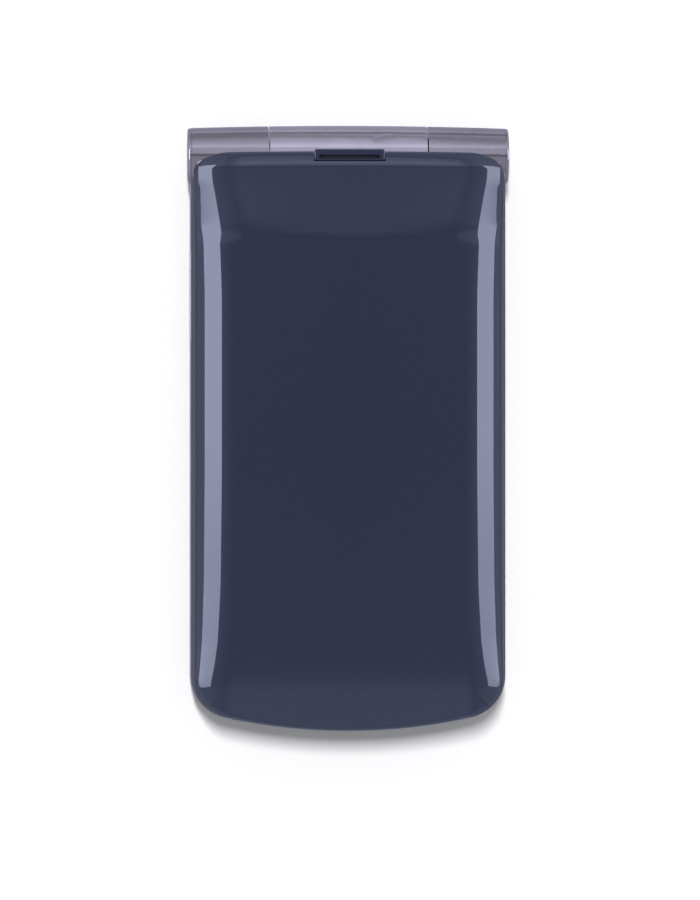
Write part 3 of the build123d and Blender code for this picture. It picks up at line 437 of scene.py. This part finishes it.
def thickened(shape, depth):
    """Turns flat faces into a plate of this depth, towards +Z."""
    drawn = bmesh.ops.extrude_face_region(shape, geom=shape.faces[:])["geom"]
    moved = [v for v in drawn if isinstance(v, bmesh.types.BMVert)]
    bmesh.ops.translate(shape, verts=moved, vec=(0, 0, depth))
    bmesh.ops.recalc_face_normals(shape, faces=shape.faces)


def without_middle(shape, middle):
    """Removes the face nearest to a point, which leaves the border round it."""
    inside = min(shape.faces, key=lambda face: (face.calc_center_median() - middle).length)
    bmesh.ops.delete(shape, geom=[inside], context="FACES_ONLY")


# Lid cover's form

def bezier(a, b, c, d, t):
    """A value along a cubic curve."""
    s = 1 - t
    return s**3 * a + 3 * s * s * t * b + 3 * s * t * t * c + t**3 * d


def low_corner_middle():
    """Middle of the rounding between a side and the bowed low end."""
    corner_x = cover_half - low_corner
    return corner_x, low_y + low_radius - sqrt((low_radius - low_corner) ** 2 - corner_x**2)


def low_outline(x):
    """Where the cover's bowed low end lies, at x across it."""
    middle = low_y + low_radius
    across = abs(x)
    corner_x, corner_y = low_corner_middle()
    if across < corner_x * low_radius / (low_radius - low_corner):
        return middle - sqrt(low_radius**2 - across**2)
    return corner_y - sqrt(max(low_corner**2 - (across - corner_x) ** 2, 0))


def high_end(x):
    """Where the slightly bowed hinge end would lie without its corners, at x across it."""
    return end_y - high_bow * (x / cover_half) ** 2


def high_outline(x):
    """Where the cover's hinge end lies, at x across it."""
    past = max(abs(x) - (cover_half - high_corner_width), 0) / high_corner_width
    return high_end(x) - high_corner_length * (1 - sqrt(max(1 - past**2, 0)))


def read_table(table, place):
    """Sizes at a place, between the rows of a table in millimetres."""
    for (before, *start), (after, *stop) in zip(table, table[1:]):
        if place / mm <= after:
            break
    share = min(max((place / mm - before) / (after - before), 0), 1)
    return [(a + (b - a) * share) * mm for a, b in zip(start, stop)]


def shoulder_at(y):
    """Width and fall of the side shoulder, blended over a short stretch."""
    reads = [read_table(shoulders, y + step * shoulder_blend) for step in (-1, -0.5, 0, 0.5, 1)]
    return [sum(values) / len(reads) for values in zip(*reads)]


def rise_at(y):
    """How far the hump stands above the flat face, from its crease to the hinge."""
    past = y - crease_y
    soft = crease_softness
    slope = hump_rise / hump_run
    if past < -soft:
        return 0.0
    return slope * (past + soft) ** 2 / (4 * soft) if past < soft else slope * past


def low_slope_at(y):
    """How far the face has fallen on its gentle slope to the low end."""
    share = max(1 - (y - low_y) / low_slope_length, 0)
    return low_slope_drop * share**3


def high_rim_at(x, y):
    """How far the rounded rim at the hinge end has fallen: it starts with a crisp edge."""
    inward = high_end(x) - y
    width = read_table(high_rim_widths, abs(x))[0]
    if inward >= width:
        return 0.0
    start, here = 1 - width / high_rim_arc, 1 - max(inward, 0) / high_rim_arc
    return high_rim_drop * (sqrt(1 - start**2) - sqrt(1 - here**2))


def low_rim_at(x, y):
    """How far the rounding that follows the low end's outline has fallen."""
    corner_x, corner_y = low_corner_middle()
    facing = 1.0
    inward = low_radius - hypot(x, y - low_y - low_radius)
    if abs(x) > corner_x:
        away = hypot(abs(x) - corner_x, y - corner_y)
        inward = low_corner - away
        facing = max(corner_y - y, 0) / max(away, least_away)
    gap = min(max(1 - inward / low_rim_width, 0), 1)
    return low_rim_drop * facing * (1 - sqrt(1 - gap**2))


def across_cover(share, y):
    """Place across the cover and height of its section there, for a share from -1 to 1."""
    side = 1 if share > 0 else -1
    share = abs(share)
    width, drop = shoulder_at(y)
    flat = cover_half - width
    top = face_height + rise_at(y) - low_slope_at(y)
    if share < flat_columns:
        x = flat * share / flat_columns
        return side * x, top - face_crown * (x / flat) ** 2 - high_rim_at(x, y)
    t = (share - flat_columns) / (1 - flat_columns)
    edge, foot = top - face_crown, top - drop
    lean = shoulder_pull * width * 2 * face_crown / flat
    x = bezier(flat, flat + shoulder_pull * width, cover_half, cover_half, t)
    z = bezier(edge, edge - lean, foot + shoulder_pull * (edge - foot), foot, t)
    return side * x, z - high_rim_at(x, y)


def row_places(low, high):
    """Places along the cover: close together at both ends and at the crease."""
    stops = [low + low_slope_length, crease_y - crease_zone, crease_y + crease_zone, high - rim_zone]
    places = [stops[0] - low_slope_length * cos(n / low_rows * pi / 2) for n in range(low_rows)]
    for rows, start, stop in zip((flat_rows, crease_rows, hump_rows), stops, stops[1:]):
        places += [start + (stop - start) * n / rows for n in range(rows)]
    places += [stops[-1] + rim_zone * sin(n / rim_rows * pi / 2) for n in range(rim_rows + 1)]
    return places


def barrel_clearance(y):
    """Lowest height at which the cover clears the hinge barrel."""
    away = y - hinge_y
    if abs(away) >= swing_radius:
        return split_z
    return max(split_z, hinge_z + sqrt(swing_radius**2 - away**2))


def cover_skin():
    """Outer skin of the lid's cover: a fine grid laid on its form, with its edge drawn down."""
    shape = bmesh.new()
    rows = low_rows + flat_rows + crease_rows + hump_rows + rim_rows
    bmesh.ops.create_grid(shape, x_segments=columns, y_segments=rows, size=1.0)
    for vertex in shape.verts:
        share = vertex.co.x
        row = round((vertex.co.y + 1) / 2 * rows)
        x = across_cover(share, 0.0)[0]
        y = row_places(low_outline(x), high_outline(x))[row]
        x, side_height = across_cover(share, y)
        y = row_places(low_outline(x), high_outline(x))[row]
        vertex.co = (x, y, split_z + side_height - low_rim_at(x, y))
    edge = [e for e in shape.edges if e.is_boundary]
    drawn = bmesh.ops.extrude_edge_only(shape, edges=edge)["geom"]
    for vertex in (v for v in drawn if isinstance(v, bmesh.types.BMVert)):
        vertex.co.z = min(vertex.co.z, barrel_clearance(vertex.co.y))
    return shape


def cut_out(shape, low, high):
    """Removes what lies between two corners, cutting the faces along its sides."""
    for axis in range(2):
        for corner in (low, high):
            normal = Vector((0, 0, 0))
            normal[axis] = 1
            geometry = shape.verts[:] + shape.edges[:] + shape.faces[:]
            bmesh.ops.bisect_plane(shape, geom=geometry, plane_co=corner, plane_no=normal)
    inside = [
        f
        for f in shape.faces
        if all(low[a] < f.calc_center_median()[a] < high[a] for a in range(2))
    ]
    bmesh.ops.delete(shape, geom=inside, context="FACES")


def lid_cover():
    """Glossy lid cover, with a notch for the ringer slot's insert."""
    shape = cover_skin()
    low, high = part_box("slot_trim")
    cut_out(
        shape,
        low - Vector((notch_gap, notch_gap, 0)),
        high + Vector((notch_gap, notch_past_end, 0)),
    )
    bmesh.ops.remove_doubles(shape, verts=shape.verts, dist=same_point)
    bmesh.ops.dissolve_degenerate(shape, edges=shape.edges, dist=sliver)
    bmesh.ops.recalc_face_normals(shape, faces=shape.faces)
    bmesh.ops.solidify(shape, geom=shape.faces[:], thickness=cover_wall)
    made = piece("lid_cover_skin", shape, "navy_gloss", "lid", ["lid_outer_cover"])
    smooth_shading(made)
    return made


def fold_painted_shade(cover):
    """Painted shade: thin black strip across each low corner's fold, where side and end shoulders
    meet.
    """
    points = [v.co for v in cover.data.vertices]
    tree = BVHTree.FromPolygons(points, [list(f.vertices) for f in cover.data.polygons])
    above, down = Vector((0, 0, 0.1)), Vector((0, 0, -1))
    shape = bmesh.new()
    for side in (-1, 1):
        made = bmesh.ops.create_grid(shape, x_segments=fold_columns, y_segments=fold_rows, size=1.0)
        inner = Vector((side * fold_inner[0], fold_inner[1], 0))
        outer = Vector((side * fold_outer[0], fold_outer[1], 0))
        across = (outer - inner).normalized().cross(Vector((0, 0, 1)))
        for vertex in made["verts"]:
            share = (vertex.co.x + 1) / 2
            half = fold_width / 2 * (1 - fold_taper * vertex.co.x**2)
            ridge = fold_proud * (1 - fold_roundness * vertex.co.y**2)
            place = inner.lerp(outer, share) + across * half * vertex.co.y
            vertex.co = tree.ray_cast(place + above, down)[0] + Vector((0, 0, ridge))
    bmesh.ops.recalc_face_normals(shape, faces=shape.faces)
    bmesh.ops.solidify(shape, geom=shape.faces[:], thickness=2 * fold_proud)
    # The strips are black: painted shade along the fold.
    smooth_shading(piece("cover_fold_painted_shade", shape, "black_plastic", "lid"))


# Marks on the keys

def numeral(sign):
    """Flat outline of one sign, centred."""
    curve = bpy.data.curves.new("numeral", "FONT")
    curve.body = sign
    curve.size = numeral_size
    curve.resolution_u = 4
    written = bpy.data.objects.new("numeral", curve)
    mesh = bpy.data.meshes.new_from_object(written)
    shape = bmesh.new()
    shape.from_mesh(mesh)
    bpy.data.objects.remove(written)
    bpy.data.curves.remove(curve)
    bpy.data.meshes.remove(mesh)
    bmesh.ops.remove_doubles(shape, verts=shape.verts, dist=numeral_weld)
    low = [min(v.co[a] for v in shape.verts) for a in range(2)]
    high = [max(v.co[a] for v in shape.verts) for a in range(2)]
    middle = Vector(((low[0] + high[0]) / 2, (low[1] + high[1]) / 2, 0))
    bmesh.ops.translate(shape, verts=shape.verts, vec=-middle)
    return shape


def bar(shape, width, height, middle=(0, 0, 0)):
    """Adds a flat bar."""
    made = bmesh.ops.create_grid(shape, x_segments=1, y_segments=1, size=0.5)["verts"]
    bmesh.ops.scale(shape, verts=made, vec=(width, height, 1))
    bmesh.ops.translate(shape, verts=made, vec=middle)


def arrow(shape, turn, middle):
    """Adds a flat triangle that points along +X, turned by an angle."""
    made = bmesh.ops.create_circle(shape, cap_ends=True, segments=3, radius=arrow_head)["verts"]
    spin = Matrix.Rotation(turn - pi / 2, 4, "Z")
    bmesh.ops.transform(shape, verts=made, matrix=spin)
    bmesh.ops.translate(shape, verts=made, vec=middle)


def handset(turn):
    """Flat outline of a handset: an arc with an earpiece and a mouthpiece at its ends."""
    shape = bmesh.new()
    bmesh.ops.create_grid(shape, x_segments=handset_steps, y_segments=1, size=1.0)
    for vertex in shape.verts:
        along, across = vertex.co.x, vertex.co.y
        at_end = abs(along) > handset_end_from
        away = handset_radius + across * (handset_end if at_end else handset_grip)
        away -= handset_end_drop if at_end else 0
        angle = along * handset_bend
        vertex.co = (away * sin(angle), away * cos(angle) - handset_middle, 0)
    bmesh.ops.rotate(shape, verts=shape.verts, matrix=Matrix.Rotation(turn, 3, "Z"))
    return shape


def mark(key, shape, finish="key_ink"):
    """Prints a flat shape on the top of a key, so that it moves with the key."""
    thickened(shape, mark_depth)
    low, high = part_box(key)
    place = ((low.x + high.x) / 2, (low.y + high.y) / 2, high.z - mark_sunk)
    bmesh.ops.translate(shape, verts=shape.verts, vec=place)
    piece(key + "_mark", shape, finish, key)


def key_marks():
    """Numerals on the dialling keys and plain symbols on the others."""
    for sign in "0123456789":
        mark("key_" + sign, numeral(sign))
    mark("key_star", numeral("*"))
    mark("key_hash", numeral("#"))
    for key in ("key_soft_left", "key_soft_right"):
        shape = bmesh.new()
        bar(shape, *soft_key_bar)
        mark(key, shape)
    mark("key_send", handset(radians(-50)), "green_ink")
    mark("key_end", handset(0), "red_ink")
    shape = bmesh.new()
    bar(shape, *arrow_shaft, (arrow_shaft_x, 0, 0))
    arrow(shape, pi, (arrow_head_x, 0, 0))
    mark("key_clear", shape)
    shape = bmesh.new()
    for turn in (0, pi / 2, pi, 3 * pi / 2):
        arrow(shape, turn, (navigation_reach * cos(turn), navigation_reach * sin(turn), 0))
    mark("key_navigation", shape)
    shape = bmesh.new()
    bmesh.ops.create_circle(shape, cap_ends=True, segments=40, radius=ok_radius)
    bmesh.ops.inset_individual(shape, faces=shape.faces[:], thickness=ok_line)
    without_middle(shape, Vector((0, 0, 0)))
    mark("key_ok", shape)


# Camera and display

def ring(outer, inner, low, high):
    """A flat ring with square edges, from low to high."""
    shape = bmesh.new()
    profile = [(inner, low), (outer, low), (outer, high), (inner, high)]
    corners = [shape.verts.new((x, 0, z)) for x, z in profile]
    edges = [shape.edges.new((corners[n], corners[(n + 1) % 4])) for n in range(4)]
    turned = {"axis": (0, 0, 1), "cent": (0, 0, 0), "angle": 2 * pi, "steps": ring_steps}
    bmesh.ops.spin(shape, geom=corners + edges, use_merge=True, use_duplicate=False, **turned)
    bmesh.ops.remove_doubles(shape, verts=shape.verts, dist=ring_weld)
    return shape


def camera_details():
    """Rings and glass of the camera in the middle of its panel."""
    low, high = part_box("camera_module")
    middle = ((low.x + high.x) / 2, (low.y + high.y) / 2, low.z)
    trim = ring(**trim_ring)
    rims = [e for e in trim.edges if e.calc_face_angle(0) > 1 and e.calc_length() < 0.5 * mm]
    rounding = {"offset": trim_bevel, "segments": 2, "profile": 0.5, "material": -1}
    bmesh.ops.bevel(trim, geom=rims, affect="EDGES", **rounding)
    glass = bmesh.new()
    bmesh.ops.create_uvsphere(glass, u_segments=40, v_segments=20, radius=glass_radius)
    bmesh.ops.scale(glass, verts=glass.verts, vec=(1, 1, glass_flatness))
    for name, shape, finish in (
        ("camera_trim_ring", trim, "steel"),
        ("camera_barrel_ring", ring(**barrel_ring), "black_plastic"),
        ("camera_lens_glass", glass, "black_gloss"),
    ):
        bmesh.ops.recalc_face_normals(shape, faces=shape.faces)
        bmesh.ops.translate(shape, verts=shape.verts, vec=middle)
        smooth_shading(piece(name, shape, finish, "base"))


def display_mask():
    """Black border printed behind the display's window."""
    low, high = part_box("display_window")
    middle = Vector(((low.x + high.x) / 2, (low.y + high.y) / 2, high.z + mask_behind))
    shape = bmesh.new()
    bar(shape, high.x - low.x - 2 * mask_inset, high.y - low.y - 2 * mask_inset, middle)
    bmesh.ops.inset_individual(shape, faces=shape.faces[:], thickness=mask_border)
    without_middle(shape, middle)
    thickened(shape, mask_depth)
    piece("display_mask", shape, "black_gloss", "lid")


# Studio

def tinted(level):
    """Cool grey light of a level."""
    return tuple(level * c for c in cool_tint)


def blended(tree, kind, first, second):
    """Two colours multiplied or added."""
    mixed = tree.nodes.new("ShaderNodeMix")
    mixed.data_type = "RGBA"
    mixed.blend_type = kind
    mixed.inputs["Factor"].default_value = 1.0
    tree.links.new(first, mixed.inputs["A"])
    tree.links.new(second, mixed.inputs["B"])
    return mixed.outputs["Result"]


def by_place(tree, low, high, stops):
    """Colour by the place along Y, from low to high, as (share, colour) stops."""
    parts = tree.nodes.new("ShaderNodeSeparateXYZ")
    tree.links.new(object_place(tree), parts.inputs["Vector"])
    spread = tree.nodes.new("ShaderNodeMapRange")
    spread.inputs["From Min"].default_value = low
    spread.inputs["From Max"].default_value = high
    tree.links.new(parts.outputs["Y"], spread.inputs["Value"])
    return blend_colours(tree, spread.outputs["Result"], stops)


def studio_world():
    """Even light, and to gloss a studio: dark card overhead, pale walls beyond both ends and sides."""
    world = bpy.data.worlds.new("studio")
    bpy.context.scene.world = world
    world.use_nodes = True
    tree = world.node_tree
    background = tree.nodes["Background"]
    place = tree.nodes.new("ShaderNodeTexCoord")
    parts = tree.nodes.new("ShaderNodeSeparateXYZ")
    tree.links.new(place.outputs["Generated"], parts.inputs["Vector"])

    def calculate(operation, a, b=None):
        node = tree.nodes.new("ShaderNodeMath")
        node.operation = operation
        for socket, value in zip(node.inputs, (a, b)):
            if value is None:
                continue
            if isinstance(value, (int, float)):
                socket.default_value = value
            else:
                tree.links.new(value, socket)
        return node.outputs[0]

    def by_angle(angle, stops):
        """Colour by the angle from straight up, as (degrees, colour) stops."""
        share = calculate("ADD", calculate("DIVIDE", angle, 2 * pi), 0.5)
        return blend_colours(tree, share, [(a / 360 + 0.5, colour) for a, colour in stops])

    lengthwise = calculate("ARCTAN2", parts.outputs["Y"], parts.outputs["Z"])
    sideways = calculate("ARCTAN2", parts.outputs["X"], parts.outputs["Z"])
    from_middle = calculate("ABSOLUTE", calculate("SUBTRACT", sideways, camera_tilt))
    ends = by_angle(lengthwise, [(a, tinted(level)) for a, level in wall_light])
    sides = by_angle(from_middle, [(a, tinted(level)) for a, level in side_light])
    shade = by_angle(from_middle, [(a, (level, level, level)) for a, level in side_shade])
    picture = blended(tree, "ADD", blended(tree, "MULTIPLY", ends, shade), sides)
    path = tree.nodes.new("ShaderNodeLightPath")
    shown = tree.nodes.new("ShaderNodeMix")
    shown.data_type = "RGBA"
    shown.inputs["A"].default_value = (world_level, world_level, world_level, 1)
    tree.links.new(path.outputs["Is Glossy Ray"], shown.inputs["Factor"])
    tree.links.new(picture, shown.inputs["B"])
    tree.links.new(shown.outputs["Result"], background.inputs["Color"])


def side_panel(side, level):
    """A long soft box beside the phone, which only gloss shows."""
    near = side * panel_near_x + panel_height * tan(side * panel_near + camera_tilt)
    far = side * panel_far_x + panel_height * tan(side * panel_far + camera_tilt)
    middle = ((near + far) / 2, (panel_low + panel_high) / 2, panel_height)
    shape = bmesh.new()
    bar(shape, abs(far - near), panel_high - panel_low, middle)
    lit, tree, _ = material("panel_light", (0, 0, 0), 1.0)
    stops = [(place, tuple(share * c for c in panel_colour)) for place, share in panel_fade]
    glow = tree.nodes.new("ShaderNodeEmission")
    tree.links.new(by_place(tree, panel_low, 0.0, stops), glow.inputs["Color"])
    glow.inputs["Strength"].default_value = level
    tree.links.new(glow.outputs[0], tree.nodes["Material Output"].inputs["Surface"])
    panel = linked_mesh("side_panel", shape, lit)
    panel.visible_camera = False
    panel.visible_diffuse = False
    panel.visible_shadow = False
    panel.visible_transmission = False


def floor():
    """Plain pale floor: nearly white, keeping the shadow; in gloss it shows a painted grey reflection.
    """
    shape = bmesh.new()
    bmesh.ops.create_grid(shape, x_segments=1, y_segments=1, size=floor_half)
    bmesh.ops.translate(shape, verts=shape.verts, vec=(0, 0, -floor_gap))
    made, tree, shader = material("floor_white", floor_colour, floor_roughness)
    path = tree.nodes.new("ShaderNodeLightPath")

    def glow(share, ray, under, colour=None):
        """Adds a share of light to what one kind of ray sees: white, or of a colour."""
        light = tree.nodes.new("ShaderNodeEmission")
        light.inputs["Color"].default_value = (1, 1, 1, 1)
        if colour:
            tree.links.new(colour, light.inputs["Color"])
        seen = tree.nodes.new("ShaderNodeMath")
        seen.operation = "MULTIPLY"
        seen.inputs[1].default_value = share
        tree.links.new(path.outputs[ray], seen.inputs[0])
        mixed = tree.nodes.new("ShaderNodeMixShader")
        tree.links.new(seen.outputs[0], mixed.inputs["Fac"])
        tree.links.new(under, mixed.inputs[1])
        tree.links.new(light.outputs[0], mixed.inputs[2])
        return mixed.outputs[0]

    reach = floor_painted_reflection[-1][0]
    stops = [(y / reach, tinted(level)) for y, level in floor_painted_reflection]
    surface = glow(floor_glow, "Is Camera Ray", shader.outputs[0])
    # Painted reflection: gloss sees the floor glow at the listed levels, not its own lit colour.
    surface = glow(1.0, "Is Glossy Ray", surface, by_place(tree, 0, reach * mm, stops))
    tree.links.new(surface, tree.nodes["Material Output"].inputs["Surface"])
    linked_mesh("floor", shape, made)


def lamp():
    """One large soft lamp from beyond the hinge, so that the shadow falls at the low end."""
    light = bpy.data.lights.new("soft_lamp", "AREA")
    light.shape = "RECTANGLE"
    light.size, light.size_y = lamp_width, lamp_length
    light.energy = lamp_energy
    made = bpy.data.objects.new("soft_lamp", light)
    made.location = lamp_place
    made.rotation_euler = (-lamp_place).to_track_quat("-Z", "Y").to_euler()
    made.visible_glossy = False
    bpy.context.scene.collection.objects.link(made)


def camera():
    """Looks nearly straight down on the lid, through a long lens, as in the photograph."""
    view = bpy.data.cameras.new("camera")
    view.lens = camera_lens
    view.sensor_width = camera_sensor
    made = bpy.data.objects.new("camera", view)
    aim_x = (image_width / 2 - phone_middle_px[0]) * photo_pixel
    aim_y = -(image_height / 2 - phone_middle_px[1]) * photo_pixel
    back = Vector((-sin(camera_tilt), 0, cos(camera_tilt)))
    right = Vector((cos(camera_tilt), 0, sin(camera_tilt)))
    distance = image_height * photo_pixel / 2 / tan(atan2(camera_sensor / 2, camera_lens))
    aim = Vector((0, 0, focus_height)) + right * aim_x + Vector((0, aim_y, 0))
    made.location = aim + back * distance
    turn = Matrix((right, Vector((0, 1, 0)), back)).transposed()
    made.rotation_euler = turn.to_euler()
    bpy.context.scene.collection.objects.link(made)
    bpy.context.scene.camera = made


finish_nodes()
fold_painted_shade(lid_cover())
key_marks()
display_mask()
camera_details()
studio_world()
side_panel(-1, panel_left_level)
side_panel(1, panel_right_level)
floor()
lamp()
camera()
bpy.context.scene.view_settings.view_transform = "Standard"
